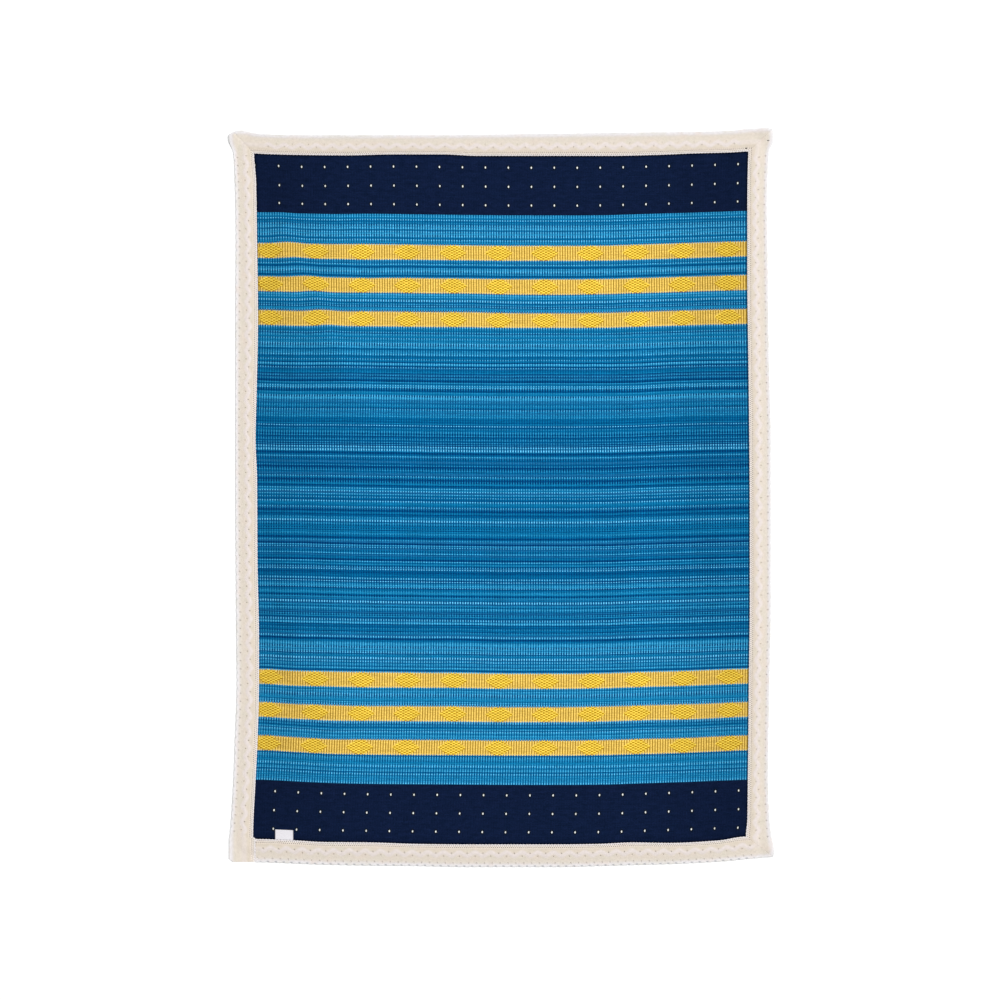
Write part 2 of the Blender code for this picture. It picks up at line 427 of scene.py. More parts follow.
def lay_out(piece, x, y, z):
    """Puts each point of a piece in its place."""
    places = np.stack([x, y, z], axis=1).astype(np.float32)
    piece.data.vertices.foreach_set("co", places.ravel())
    piece.data.update()


def map_cloth(piece, across, along):
    """Writes the piece's own measure of its cloth into its UV map, named weave."""
    while piece.data.uv_layers:
        piece.data.uv_layers.remove(piece.data.uv_layers[0])
    layer = piece.data.uv_layers.new(name="weave")
    corners = np.empty(len(piece.data.loops), dtype=np.int32)
    piece.data.loops.foreach_get("vertex_index", corners)
    places = np.stack([across[corners], along[corners]], axis=1).astype(np.float32)
    layer.data.foreach_set("uv", places.ravel())


def write_values(piece, name, values):
    """Gives each point of a piece a value that its material can read."""
    layer = piece.data.attributes.new(name, "FLOAT", "POINT")
    layer.data.foreach_set("value", values.astype(np.float32))


def thicken(piece, thickness):
    """Gives a laid sheet its thickness upwards."""
    solidify = piece.modifiers.new("Thickness", "SOLIDIFY")
    solidify.thickness = thickness
    solidify.offset = 1.0
    solidify.use_even_offset = False


def linear(channel):
    """The strength of light of one channel of a screen colour."""
    channel = channel / 255.0
    return channel / 12.92 if channel <= 0.04045 else ((channel + 0.055) / 1.055) ** 2.4


def seen(red, green, blue):
    """The colour of a surface that looks like this on a screen, under the scene's light."""
    return (*(min(linear(max(c, 0)) / LIGHT_LEVEL, 1.0) for c in (red, green, blue)), 1.0)


# Patches of uneven value: how many lie in one unit across and down, how rough they are, the range of the
# noise that is used, and the values at its two ends
Patches = namedtuple("Patches", "across down detail low high least most")

SHINE = 0.04


class Finish:
    """A material under construction, with a short way to write each kind of node that it needs."""

    def __init__(self, name, roughness, sheen):
        self.material = bpy.data.materials.new(name)
        self.material.use_nodes = True
        self.tree = self.material.node_tree
        self.shader = self.tree.nodes["Principled BSDF"]
        self.shader.inputs["Roughness"].default_value = roughness
        self.shader.inputs["Specular IOR Level"].default_value = SHINE
        self.shader.inputs["Sheen Weight"].default_value = sheen
        self.shader.inputs["Sheen Roughness"].default_value = 0.5

    def feed(self, socket, part):
        """Links a node's result to a socket, or sets a plain value there."""
        if isinstance(part, bpy.types.NodeSocket):
            self.tree.links.new(part, socket)
        else:
            socket.default_value = part

    def maths(self, operation, *parts, clamp=False):
        made = self.tree.nodes.new("ShaderNodeMath")
        made.operation = operation
        made.use_clamp = clamp
        for socket, part in zip(made.inputs, parts):
            self.feed(socket, part)
        return made.outputs[0]

    def scaled(self, part, from_low, from_high, to_low=0.0, to_high=1.0):
        """The part drawn out from one range to another, and held at the ends of it."""
        made = self.tree.nodes.new("ShaderNodeMapRange")
        self.feed(made.inputs["Value"], part)
        made.inputs["From Min"].default_value = from_low
        made.inputs["From Max"].default_value = from_high
        made.inputs["To Min"].default_value = to_low
        made.inputs["To Max"].default_value = to_high
        return made.outputs["Result"]

    def mix(self, share, first, second, blend="MIX"):
        """The first colour, with a share of the second in its place."""
        made = self.tree.nodes.new("ShaderNodeMix")
        made.data_type = "RGBA"
        made.blend_type = blend
        self.feed(made.inputs["Factor"], share)
        self.feed(made.inputs[6], first)
        self.feed(made.inputs[7], second)
        return made.outputs[2]

    def ramp(self, place, stops, smooth=True):
        """A colour for each place from 0 to 1, from a list of places and colours."""
        made = self.tree.nodes.new("ShaderNodeValToRGB")
        made.color_ramp.interpolation = "LINEAR" if smooth else "CONSTANT"
        elements = made.color_ramp.elements
        while len(elements) > 1:
            elements.remove(elements[-1])
        elements[0].position, elements[0].color = stops[0]
        for position, colour in stops[1:]:
            elements.new(position).color = colour
        self.feed(made.inputs["Fac"], place)
        return made.outputs["Color"]

    def cloth_place(self):
        """The two measures of the cloth from the piece's own map."""
        mapped = self.tree.nodes.new("ShaderNodeUVMap")
        mapped.uv_map = "weave"
        parted = self.tree.nodes.new("ShaderNodeSeparateXYZ")
        self.feed(parted.inputs[0], mapped.outputs["UV"])
        return parted.outputs[0], parted.outputs[1]

    def noise(self, x, y, detail=2.0):
        """Uneven values from 0 to 1 that change over one unit of x and of y."""
        joined = self.tree.nodes.new("ShaderNodeCombineXYZ")
        self.feed(joined.inputs[0], x)
        self.feed(joined.inputs[1], y)
        made = self.tree.nodes.new("ShaderNodeTexNoise")
        made.inputs["Scale"].default_value = 1.0
        made.inputs["Detail"].default_value = detail
        self.feed(made.inputs["Vector"], joined.outputs[0])
        return made.outputs["Fac"]

    def uneven(self, x, y, patches):
        """Uneven values in the form that a row of patches gives."""
        x = self.maths("MULTIPLY", x, patches.across)
        y = self.maths("MULTIPLY", y, patches.down)
        made = self.noise(x, y, patches.detail)
        return self.scaled(made, patches.low, patches.high, patches.least, patches.most)

    def value(self, name):
        """A value that the mesh carries under this name."""
        made = self.tree.nodes.new("ShaderNodeAttribute")
        made.attribute_name = name
        return made.outputs["Fac"]

    def nearest(self, part, places):
        """Distance from the part to the nearest of some places."""
        least = None
        for place in places:
            distance = self.maths("ABSOLUTE", self.maths("SUBTRACT", part, place))
            least = distance if least is None else self.maths("MINIMUM", least, distance)
        return least

    def shaded(self, colour, *shades):
        """A colour made lighter or darker by each of some shades."""
        shade = shades[0]
        for other in shades[1:]:
            shade = self.maths("MULTIPLY", shade, other)
        grey = self.tree.nodes.new("ShaderNodeCombineColor")
        for socket in grey.inputs:
            self.feed(socket, shade)
        return self.mix(1.0, colour, grey.outputs[0], "MULTIPLY")

    def wave(self, part, pitch, start=0.0):
        """Swings from -1 to 1 and back over each pitch, and is 1 at the start."""
        turned = self.maths("MULTIPLY", self.maths("SUBTRACT", part, start), TAU / pitch)
        return self.maths("COSINE", turned)

    def bump(self, height, strength, distance):
        """Fine relief, too small for the mesh."""
        made = self.tree.nodes.new("ShaderNodeBump")
        made.inputs["Strength"].default_value = strength
        made.inputs["Distance"].default_value = distance
        self.feed(made.inputs["Height"], height)
        self.feed(self.shader.inputs["Normal"], made.outputs["Normal"])


# Tones of the blue rows: the level of green, as it looks on a screen, of the yarn on a rib and in the gap
# between two ribs, and how much redder that yarn is than the plain blue one
Tone = namedtuple("Tone", "rib gap red")

TONES = {
    "ink": Tone(95, 60, 0),
    "deep": Tone(110, 80, 0),
    "mid": Tone(125, 90, 0),
    "plain": Tone(135, 105, 0),
    "bright": Tone(150, 120, 0),
    "ribs": Tone(155, 90, 0),
    "strong": Tone(170, 100, 0),
    "clear": Tone(185, 115, 0),
    "dots": Tone(185, 70, 0),
    "dark-dots": Tone(135, 60, 0),
    "dashes": Tone(205, 85, 0),
    "violet": Tone(125, 95, 20),
}

# A row of the weave: the step at which it starts, and its tone
Row = namedtuple("Row", "start tone")

# Each row draws its yarn and its height in steps from these lists, in a seeded order, and a yarn that is
# listed twice is drawn twice as often. So many steps of the middle part next to the bands are light too
LIGHT_YARNS = "deep mid plain bright ribs ribs strong strong clear clear dots dashes".split()
DEEP_YARNS = (
    "ink ink deep deep deep mid mid mid plain ribs ribs dots dark-dots bright strong clear dashes violet"
).split()
LIGHT_STEPS = 30
ROW_HEIGHTS = (1, 1, 1, 2)
ROW_SEED = 11

# Upper and lower edges of the yellow bands and of the blue part, in steps
Band = namedtuple("Band", "top bottom")

BANDS = [
    Band(245.8, 260.7),
    Band(279.3, 293.9),
    Band(313.3, 327.4),
    Band(673.6, 688.5),
    Band(707.2, 721.6),
    Band(740.4, 755.2),
]
LAST_UPPER_BAND = BANDS[2]
BLUE_TOP = 215.5
BLUE_BOTTOM = 784.7

# The rows are painted from ramps of so many rows, the last of which lasts so many steps, and each row is
# made a little crisper against its two neighbours
RAMP_STOPS = 31
LAST_ROW = 6.0
ROW_CRISPNESS = 0.08

# Red and blue of the blue yarn at each level of its green: from where they start, and how fast they rise
RED_START = 114
RED_RISE = 1.05
BLUE_START = 60
BLUE_RISE = 0.95

# How crisply the yarn on a rib meets that in the gap, how wide the gap is, and how uneven the rib's sides are
RIB_CRISPNESS = 4.5
RIB_SHARE = -1.55
LOOSE_YARN = Patches(0.45, 0.85, 3.0, 0.25, 0.75, -1.7, 1.7)

# Yellow bands: half their height and the teeth of their edges in steps, the pale line along each
# edge, the diamonds' pitch, the rib in the middle of one, half their width in ribs at the middle and at the
# band's edges, and the lattice of specks in them
BAND_HALF = 7.40
BAND_TEETH = -0.6
BAND_LINE = (6.3, 7.3)
BAND_LINE_SHARE = 0.6
FLOAT_CRISPNESS = 2.4
FLOAT_SHARE = 0.4
DIAMOND_PITCH = 18.0
DIAMOND_RIB = 96.4
DIAMOND_WIDE = 5.5
DIAMOND_NARROW = 1.5
SPECK_RIBS = 2.0
SPECK_STEPS = 2.67
SPECK_CRISPNESS = 1.8
SPECK_SHARE = 0.34

FLOAT_GAP = (176, 132, 28)
FLOAT_TOP = (261, 221, 112)
LINE_YARN = (252, 240, 176)
DIAMOND_YARN = (270, 235, 92)
DIAMOND_SPECK = (196, 142, 6)

# Dots of the navy ends: the ribs between two, the rib of one of them, the steps of their rows, half a
# dot's width in ribs and height in steps, and where its soft edge and the dark ring round it end and start
DOT_PITCH = 9.0
DOT_RIB = 10.36
DOT_ROWS = (167.8, 186.9, 205.6, 795.2, 813.7, 832.1)
DOT_HALF_WIDTH = 0.30
DOT_HALF_HEIGHT = 1.08
DOT_EDGE = (1.3, 0.7)
DOT_RING = (9.0, 3.0)
DOT_RING_SHARE = 0.8

NAVY_DARK = (5, 21, 46)
NAVY_LIGHT = (22, 36, 72)
NAVY_MOTTLE = Patches(0.35, 0.3, 3.0, 0.0, 1.0, 0.0, 1.0)
RING_YARN = (20, 27, 38)
DOT_YARN = (250, 252, 246)

# Slubs and stitches of uneven tone, painted shade that darkens the cloth towards its two sides, and a painted
# shadow line where the panel goes under the trim there, in ribs, and at the two ends, in metres: from where
# to where, and how dark
SLUBS = Patches(0.12, 0.9, 3.0, 0.25, 0.75, 0.80, 1.20)
GRAIN = Patches(1.7, 1.1, 1.0, 0.2, 0.8, 0.64, 1.36)
SIDE_SHADE = (12.0, 42.0, 0.84)
TRIM_SHADE = (1.6, 2.6, 0.50)
END_SHADE = (0.0, 0.005, 0.35)

# Fine relief of the weave: the pitch of the picks in steps, their share, the fibres, its strength and
# height
PICK_PITCH = 0.8
PICK_SHARE = 0.4
CLOTH_FIBRES = Patches(6.0, 3.0, 3.0, 0.0, 1.0, 0.0, 1.0)
CLOTH_RELIEF = (0.5, 0.0004)
COTTON_ROUGHNESS = 0.95


def drawn_rows(draw, start, end, yarns):
    """Rows from start to end, each in another yarn than the row above it."""
    rows = []
    while start < end:
        others = [tone for tone in yarns if not rows or tone != rows[-1].tone]
        rows.append(Row(start, draw.choice(others)))
        start += draw.choice(ROW_HEIGHTS)
    return rows


def all_rows():
    """The blue rows from top to bottom: deep yarns in the middle part, and light ones above and below it."""
    draw = random.Random(ROW_SEED)
    rows = drawn_rows(draw, BLUE_TOP, BANDS[0].top, LIGHT_YARNS)
    for upper, lower in zip(BANDS, BANDS[1:]):
        start = upper.bottom
        if upper is LAST_UPPER_BAND:
            rows += drawn_rows(draw, start, start + LIGHT_STEPS, LIGHT_YARNS)
            start = lower.top - LIGHT_STEPS
            rows += drawn_rows(draw, rows[-1].start + 1, start, DEEP_YARNS)
        rows += drawn_rows(draw, start, lower.top, LIGHT_YARNS)
    return rows + drawn_rows(draw, BANDS[-1].bottom, BLUE_BOTTOM, LIGHT_YARNS)


def yarn(level, red):
    """The colour of blue yarn at one level of its green."""
    return seen(RED_RISE * max(level - RED_START, 0) + red, level, BLUE_RISE * level + BLUE_START)


def striped(finish, step, rows, part):
    """The colours of the rows, on the ribs or in the gaps, from as many ramps as they need."""
    colour = None
    for first in range(0, len(rows), RAMP_STOPS):
        some = rows[first : first + RAMP_STOPS]
        start = some[0].start
        end = some[-1].start + LAST_ROW
        stops = []
        for index, row in enumerate(some, first):
            level = getattr(TONES[row.tone], part)
            above = getattr(TONES[rows[max(index - 1, 0)].tone], part)
            below = getattr(TONES[rows[min(index + 1, len(rows) - 1)].tone], part)
            level = level + ROW_CRISPNESS * (2 * level - above - below)
            stops.append(((row.start - start) / (end - start), yarn(level, TONES[row.tone].red)))
        made = finish.ramp(finish.scaled(step, start, end), stops, smooth=False)
        if colour is None:
            colour = made
        else:
            colour = finish.mix(finish.maths("GREATER_THAN", step, start), colour, made)
    return colour


def blue_rows(cloth, rib, step, swing):
    """The blue rows, each with its own yarn on the ribs and in the gaps."""
    loose = cloth.uneven(rib, step, LOOSE_YARN)
    on_rib = cloth.maths("ADD", cloth.maths("MULTIPLY_ADD", swing, RIB_CRISPNESS, RIB_SHARE), loose)
    on_rib = cloth.maths("MINIMUM", cloth.maths("MAXIMUM", on_rib, 0.0), 1.0)
    rows = all_rows()
    return cloth.mix(on_rib, striped(cloth, step, rows, "gap"), striped(cloth, step, rows, "rib"))


def yellow_bands(cloth, rib, step, swing):
    """Where the yellow bands lie, with teeth at their edges, and their colour."""
    toothed = cloth.maths("MULTIPLY_ADD", swing, BAND_TEETH, step)
    from_band = cloth.nearest(toothed, [0.5 * (band.top + band.bottom) for band in BANDS])
    in_band = cloth.maths("LESS_THAN", from_band, BAND_HALF)
    on_float = cloth.maths("MULTIPLY_ADD", swing, FLOAT_CRISPNESS, FLOAT_SHARE, clamp=True)
    stripes = cloth.mix(on_float, seen(*FLOAT_GAP), seen(*FLOAT_TOP))
    stripes = cloth.mix(cloth.scaled(from_band, *BAND_LINE, 0.0, BAND_LINE_SHARE), stripes, seen(*LINE_YARN))

    turn = cloth.maths("DIVIDE", cloth.maths("SUBTRACT", rib, DIAMOND_RIB), DIAMOND_PITCH)
    from_diamond = cloth.maths("MULTIPLY", cloth.maths("PINGPONG", turn, 0.5), DIAMOND_PITCH)
    reach = cloth.scaled(from_band, 0.0, BAND_HALF, DIAMOND_WIDE, DIAMOND_NARROW)
    in_diamond = cloth.maths("LESS_THAN", from_diamond, reach)
    specks = cloth.maths("MULTIPLY", cloth.wave(rib, SPECK_RIBS), cloth.wave(step, SPECK_STEPS))
    speck = cloth.maths("MULTIPLY_ADD", specks, SPECK_CRISPNESS, SPECK_SHARE, clamp=True)
    diamonds = cloth.mix(speck, seen(*DIAMOND_YARN), seen(*DIAMOND_SPECK))
    return in_band, cloth.mix(in_diamond, stripes, diamonds)


def navy_ends(cloth, rib, step):
    """Navy cloth, a little mottled, with pale dots in dark rings."""
    navy = cloth.mix(cloth.uneven(rib, step, NAVY_MOTTLE), seen(*NAVY_DARK), seen(*NAVY_LIGHT))
    turn = cloth.maths("DIVIDE", cloth.maths("SUBTRACT", rib, DOT_RIB), DOT_PITCH)
    from_dot = cloth.maths("MULTIPLY", cloth.maths("PINGPONG", turn, 0.5), DOT_PITCH / DOT_HALF_WIDTH)
    from_row = cloth.maths("DIVIDE", cloth.nearest(step, DOT_ROWS), DOT_HALF_HEIGHT)
    away = cloth.maths(
        "ADD", cloth.maths("MULTIPLY", from_dot, from_dot), cloth.maths("MULTIPLY", from_row, from_row)
    )
    navy = cloth.mix(cloth.scaled(away, *DOT_RING, 0.0, DOT_RING_SHARE), navy, seen(*RING_YARN))
    return cloth.mix(cloth.scaled(away, *DOT_EDGE), navy, seen(*DOT_YARN))


def panel_finish():
    """Ribbed jacquard: blue rows, yellow bands with diamonds, and navy ends with pale dots."""
    cloth = Finish("ribbed_jacquard", COTTON_ROUGHNESS, 0.0)
    rib, height = cloth.cloth_place()
    step = cloth.maths("SUBTRACT", MIDDLE_STEP, cloth.maths("DIVIDE", height, STEP))
    swing = cloth.wave(rib, 1.0)
    blue = blue_rows(cloth, rib, step, swing)
    in_band, yellow = yellow_bands(cloth, rib, step, swing)
    navy = navy_ends(cloth, rib, step)
    below_top = cloth.maths("GREATER_THAN", step, BLUE_TOP)
    above_bottom = cloth.maths("LESS_THAN", step, BLUE_BOTTOM)
    is_blue = cloth.maths("MULTIPLY", below_top, above_bottom)
    colour = cloth.mix(is_blue, navy, blue)
    colour = cloth.mix(in_band, colour, yellow)

    # painted shade towards the panel's two sides and a painted shadow line along the trim's inner edge, over
    # the slubs and grain
    from_side = cloth.maths("PINGPONG", rib, 0.5 * RIBS)
    shaded = cloth.shaded(
        colour,
        cloth.uneven(rib, step, SLUBS),
        cloth.uneven(rib, step, GRAIN),
        cloth.scaled(from_side, *SIDE_SHADE, 1.0),
        cloth.scaled(from_side, *TRIM_SHADE, 1.0),
        cloth.scaled(cloth.value("from_end"), *END_SHADE, 1.0),
    )
    cloth.feed(cloth.shader.inputs["Base Color"], shaded)
    picks = cloth.maths("MULTIPLY", cloth.wave(step, PICK_PITCH), PICK_SHARE)
    fibres = cloth.uneven(rib, step, CLOTH_FIBRES)
    cloth.bump(cloth.maths("ADD", picks, fibres), *CLOTH_RELIEF)
    return cloth.material


def panel_piece():
    """The panel: a sheet with ribs on both faces, laid on its ridges."""
    columns = int(round(RIBS * POINTS_PER_RIB))
    piece, u, v = flat_grid("panel_jacquard", columns, PANEL_ROWS)
    x, y = panel_place(u, v)
    x = x + rib_lean(u, y)
    rib = u * RIBS
    ripple = 0.5 - 0.5 * np.cos(TAU * rib)
    z = panel_lift(x, y) + (PANEL_THICKNESS - CLOTH_BODY) - RIB_DEPTH * ripple
    lay_out(piece, x, y, z)
    map_cloth(piece, rib, y + row_drop(x, y))
    # distance from the trim at the two ends, for the painted shadow line there
    from_end = np.minimum(v, 1.0 - v) * PANEL_LENGTH - TRIM_LAP
    write_values(piece, "from_end", from_end)
    thicken(piece, CLOTH_BODY)
    apply_modifiers(piece)
    bpy.ops.object.shade_smooth()
    piece.data.materials.append(panel_finish())
    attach(piece, "root")
    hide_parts("panel")
    return piece


# The trim's crochet pattern: one repeat along it, how its grid divides that, its width as laid and as
# worked, its thickness, and the length over which the pattern fades towards the ends
REPEAT = 0.0330
COLUMNS_PER_REPEAT = 32
TRIM_WIDTH = 0.045
TRIM_BODY = 0.0011
PATTERN_FADE = 0.012

# Edges of the trim, in millimetres: the picots of the inner edge, with so many to a repeat, and the
# scallops of the outer one
PICOT_HEIGHT = 0.35
PICOTS_PER_REPEAT = 5.0
SCALLOP_DEPTH = 0.7

# Raised lines of the crochet, in millimetres: where each lies, how far it winds and how often in a repeat,
# its half width, its height, and whether it stands in scallops
Raised = namedtuple("Raised", "place swing turns half_width height scalloped")

RAISED_LINES = [
    Raised(19.2, -3.4, 1, 2.6, 0.20, False),
    Raised(9.5, 0.0, 1, 1.8, 0.10, False),
    Raised(31.5, 2.4, 2, 2.0, 0.15, False),
    Raised(41.5, 0.0, 1, 1.6, 0.20, True),
]

# Rows of the trim's grid, in millimetres from its inner edge
TRIM_LINES = (
    0.0, 1.5, 3.0, 4.1, 5.1, 6.2, 7.6, 10.0, 12.4, 14.6, 16.2, 17.6, 19.0, 20.5, 21.9, 23.3, 24.7,
    27.4, 29.6, 31.8, 34.0, 36.2, 37.6, 39.0, 41.2, 43.2, 45.0,
)

# Rows of holes: the line they lie on, the columns from one to the next, the first column, the half width
# and half height of a hole in millimetres, how much painted shade darkens the thread round it, and which
# share of a strip opens it
Holes = namedtuple("Holes", "line every first half_width half_height shade row")

HOLES = [
    Holes(2, 4, 0, 0.80, 0.75, 0.3, "fine"),
    Holes(5, 4, 2, 0.80, 0.75, 0.3, "fine"),
    Holes(11, 32, 16, 0.85, 0.70, 0.7, "inner"),
    Holes(15, 32, 0, 0.90, 0.70, 0.8, "outer"),
    Holes(22, 32, 3, 1.40, 0.65, 1.0, "edging"),
    Holes(22, 32, 19, 1.00, 0.35, 0.7, "edging"),
]

# Single stitch holes near the corners, in metres, and how near to one the grid's point has to lie
SPOTS = [
    (0.5479, 0.7330),
    (0.5020, 0.7172),
    (-0.5105, 0.7140),
    (-0.5020, -0.7406),
]
SPOT_REACH = 0.0012

# How open each row of holes is in a strip, from shut at 0, and how strong the painted shadow between the
# scallops is
Open = namedtuple("Open", "fine inner outer edging gaps")

LEFT_OPEN = Open(1.0, 0.92, 0.80, 1.0, 0.35)
RIGHT_OPEN = Open(1.0, 0.75, 0.75, 0.9, 0.15)
TOP_OPEN = Open(1.0, 0.80, 0.40, 0.0, 0.0)
BOTTOM_OPEN = Open(1.0, 1.0, 0.92, 1.0, 1.0)

# One strip of the trim: its side, where it starts and ends, the step of its repeat and the place of one
# crest of its pattern, all in metres, which way the pattern runs, how far from each of its ends it is
# plain, its holes, the painted light level of its side, which makes its thread lighter on the left and
# darker at the top and on the right, and its length when flat
Strip = namedtuple("Strip", "name node side upright start end repeat crest turn plain open tone length")

STRIPS = [
    Strip(
        "trim_left_lace", "trim_left", LEFT, True, -0.748, 0.753,
        0.03335, 0.0183, -1, (0.052, 0.045), LEFT_OPEN, 1.045, 1.498,
    ),
    Strip(
        "trim_right_lace", "trim_right", RIGHT, True, -0.739, 0.759,
        0.0333, 0.0331, 1, (0.030, 0.050), RIGHT_OPEN, 0.985, 1.494,
    ),
    Strip(
        "trim_top_lace", "trim_top", TOP, False, -0.552, 0.557,
        0.0330, -0.0008, -1, (0.060, 0.060), TOP_OPEN, 0.96, 1.105,
    ),
    Strip(
        "trim_bottom_lace", "trim_bottom", BOTTOM, False, SEAM_X, 0.560,
        0.03225, 0.0103, 1, (0.004, 0.035), BOTTOM_OPEN, 1.0, 1.062,
    ),
]

# Straight cuts across the ends of the strips, each from one point to another
MITRES = [
    (INNER_TOP_LEFT, OUTER_TOP_LEFT),
    (INNER_TOP_RIGHT, OUTER_TOP_RIGHT),
    (INNER_BOTTOM_RIGHT, OUTER_BOTTOM_RIGHT),
]
CUTS = {
    "trim_left": [
        MITRES[0],
        ((-0.600, LEFT_END_Y), (-0.450, LEFT_END_Y)),
        ((-0.562, -0.7405), (-0.5515, -0.7485)),
    ],
    "trim_right": [MITRES[1], MITRES[2]],
    "trim_top": [MITRES[0], MITRES[1]],
    "trim_bottom": [MITRES[2], ((SEAM_X, -0.800), (SEAM_X, -0.650))],
}


# Thread of the trim: its colour at each share of the width from the inner edge, and faint tints of it
TRIM_THREAD = [
    (0.00, (252, 246, 248)),
    (0.03, (252, 245, 246)),
    (0.07, (254, 244, 234)),
    (0.15, (250, 237, 223)),
    (0.21, (235, 222, 205)),
    (0.45, (240, 228, 213)),
    (0.56, (240, 229, 215)),
    (0.70, (239, 228, 214)),
    (0.78, (239, 229, 216)),
    (0.84, (240, 232, 226)),
    (0.90, (247, 242, 243)),
    (1.00, (253, 252, 253)),
]
TINTS = Patches(34.0, 60.0, 2.0, 0.0, 1.0, 0.0, 1.0)
PINK_TINT = (0.52, 0.72, 0.0, 0.4)
PINK_THREAD = (244, 226, 212)
OLIVE_TINT = (0.48, 0.30, 0.0, 0.4)
OLIVE_THREAD = (233, 227, 209)

# Pinkish ribbon that winds between two rows of holes, in metres: its middle, its swing, and how far from
# its middle it ends and is full
RIBBON_MIDDLE = 0.0190
RIBBON_SWING = -0.0035
RIBBON_EDGE = (0.0062, 0.0022)
RIBBON_THREAD = (245, 234, 229)

# Painted shadow between the scallops, grey on the thread: two in each repeat, where the first one lies, how
# crisp they are, the line they lie on and how far from it they end and are full, in metres
GAP_PITCH = 0.5 * REPEAT
GAP_START = 0.31 * REPEAT
GAP_CRISPNESS = 1.5
GAP_SHARE = -0.4
GAP_LINE = 0.0430
GAP_EDGE = (0.0022, 0.0010)
GAP_SHADOW_GREY = (206, 205, 208)

# Painted shade on the thread round each hole, and a little uneven tone of the thread all over
RIM_SHADE = 0.28
RIM_PAINTED_SHADE_COLOUR = (186, 166, 152)
THREAD_SHADE = Patches(160.0, 220.0, 3.0, 0.25, 0.75, 0.94, 1.06)

# Fine relief of the crochet: the pitch of its stitches in metres, their share, the fibres, its strength and
# height
STITCH_LENGTH = 0.0024
STITCH_WIDTH = 0.0022
STITCH_SHARE = 0.6
LACE_FIBRES = Patches(1500.0, 1500.0, 3.0, 0.0, 1.0, 0.0, 1.0)
LACE_RELIEF = (0.6, 0.0005)


def trim_relief(along, across, strength):
    """Height of the crochet pattern over the trim's body."""
    turn = TAU * along / REPEAT
    height = np.zeros(len(along))
    for line in RAISED_LINES:
        middle = (line.place + line.swing * np.cos(line.turns * turn)) * MM
        share = np.abs(np.cos(turn)) if line.scalloped else 1.0
        height = height + line.height * share * np.exp(-(((across - middle) / (line.half_width * MM)) ** 2))
    return height * strength * MM


def trim_finish():
    """Cream crochet lace with a pinkish ribbon in it."""
    lace = Finish("crochet_lace", COTTON_ROUGHNESS, 0.0)
    along, across = lace.cloth_place()
    place = lace.scaled(across, 0.0, TRIM_WIDTH)
    colour = lace.ramp(place, [(share, seen(*thread)) for share, thread in TRIM_THREAD])
    tint = lace.uneven(along, across, TINTS)
    colour = lace.mix(lace.scaled(tint, *PINK_TINT), colour, seen(*PINK_THREAD))
    colour = lace.mix(lace.scaled(tint, *OLIVE_TINT), colour, seen(*OLIVE_THREAD))

    # where the strip is plain the ribbon is fainter, and straight
    strength = lace.value("pattern")
    swing = lace.maths("MULTIPLY", lace.wave(along, REPEAT), strength)
    middle = lace.maths("MULTIPLY_ADD", swing, RIBBON_SWING, RIBBON_MIDDLE)
    away = lace.maths("ABSOLUTE", lace.maths("SUBTRACT", across, middle))
    ribbon = lace.scaled(away, *RIBBON_EDGE)
    ribbon = lace.maths("MULTIPLY", ribbon, lace.maths("MULTIPLY_ADD", strength, 0.5, 0.5))
    colour = lace.mix(ribbon, colour, seen(*RIBBON_THREAD))

    # painted shadow under the scallops: grey dashes on the thread along the outer edge
    gap_wave = lace.wave(along, GAP_PITCH, GAP_START)
    painted_gap_shadow = lace.maths("MULTIPLY_ADD", gap_wave, GAP_CRISPNESS, GAP_SHARE, clamp=True)
    from_gap = lace.nearest(across, [GAP_LINE])
    painted_gap_shadow = lace.maths("MULTIPLY", painted_gap_shadow, lace.scaled(from_gap, *GAP_EDGE))
    painted_gap_shadow = lace.maths("MULTIPLY", painted_gap_shadow, lace.value("gap_shadow_share"))
    colour = lace.mix(painted_gap_shadow, colour, seen(*GAP_SHADOW_GREY))

    # painted shade on the thread round each hole
    rim_shade = lace.maths("MULTIPLY", lace.value("hole_rim_painted_shade"), RIM_SHADE)
    colour = lace.mix(rim_shade, colour, seen(*RIM_PAINTED_SHADE_COLOUR))
    # painted light and shade for each side of the frame, together with uneven tone of the thread
    colour = lace.shaded(colour, lace.uneven(along, across, THREAD_SHADE), lace.value("tone"))
    lace.feed(lace.shader.inputs["Base Color"], colour)
    stitches = lace.maths("MULTIPLY", lace.wave(along, STITCH_LENGTH), lace.wave(across, STITCH_WIDTH))
    stitches = lace.maths("MULTIPLY", stitches, STITCH_SHARE)
    lace.bump(lace.maths("ADD", stitches, lace.uneven(along, across, LACE_FIBRES)), *LACE_RELIEF)
    return lace.material


def open_holes(strip, grid_column, grid_line, along, across, strength):
    """Cuts the rows of small holes: the point in the middle of each goes, and those round it close in."""
    # painted shade for the thread round each hole
    rim_painted_shade = np.zeros(len(along))
    where = {}
    for index, key in enumerate(zip(grid_column, grid_line)):
        where[key] = index
    gone = []
    for holes in HOLES:
        for column in range(min(grid_column) + 2, max(grid_column) - 1):
            middle = where[(column, holes.line)]
            share = getattr(strip.open, holes.row)
            patterned = holes.row == "fine" or strength[middle] > 0.5
            if (strip.turn * column - holes.first) % holes.every or share == 0.0 or not patterned:
                continue
            gone.append(middle)
            centre = (along[middle], across[middle])
            for c in (-1, 0, 1):
                for r in (-1, 0, 1):
                    if c or r:
                        turn = math.hypot(c, r)
                        beside = where[(column + c, holes.line + r)]
                        rim_painted_shade[beside] = holes.shade * share
                        along[beside] = centre[0] + holes.half_width * share * c / turn * MM
                        across[beside] = centre[1] + holes.half_height * share * r / turn * MM
    return gone, rim_painted_shade


def open_spots(x, y, around, gone):
    """Opens the single stitch holes: the point nearest to each goes, unless it is part of another hole."""
    for spot_x, spot_y in SPOTS:
        away = np.hypot(x - spot_x, y - spot_y)
        nearest = int(np.argmin(away))
        if away[nearest] < SPOT_REACH and not {nearest, *around(nearest)} & set(gone):
            gone.append(nearest)


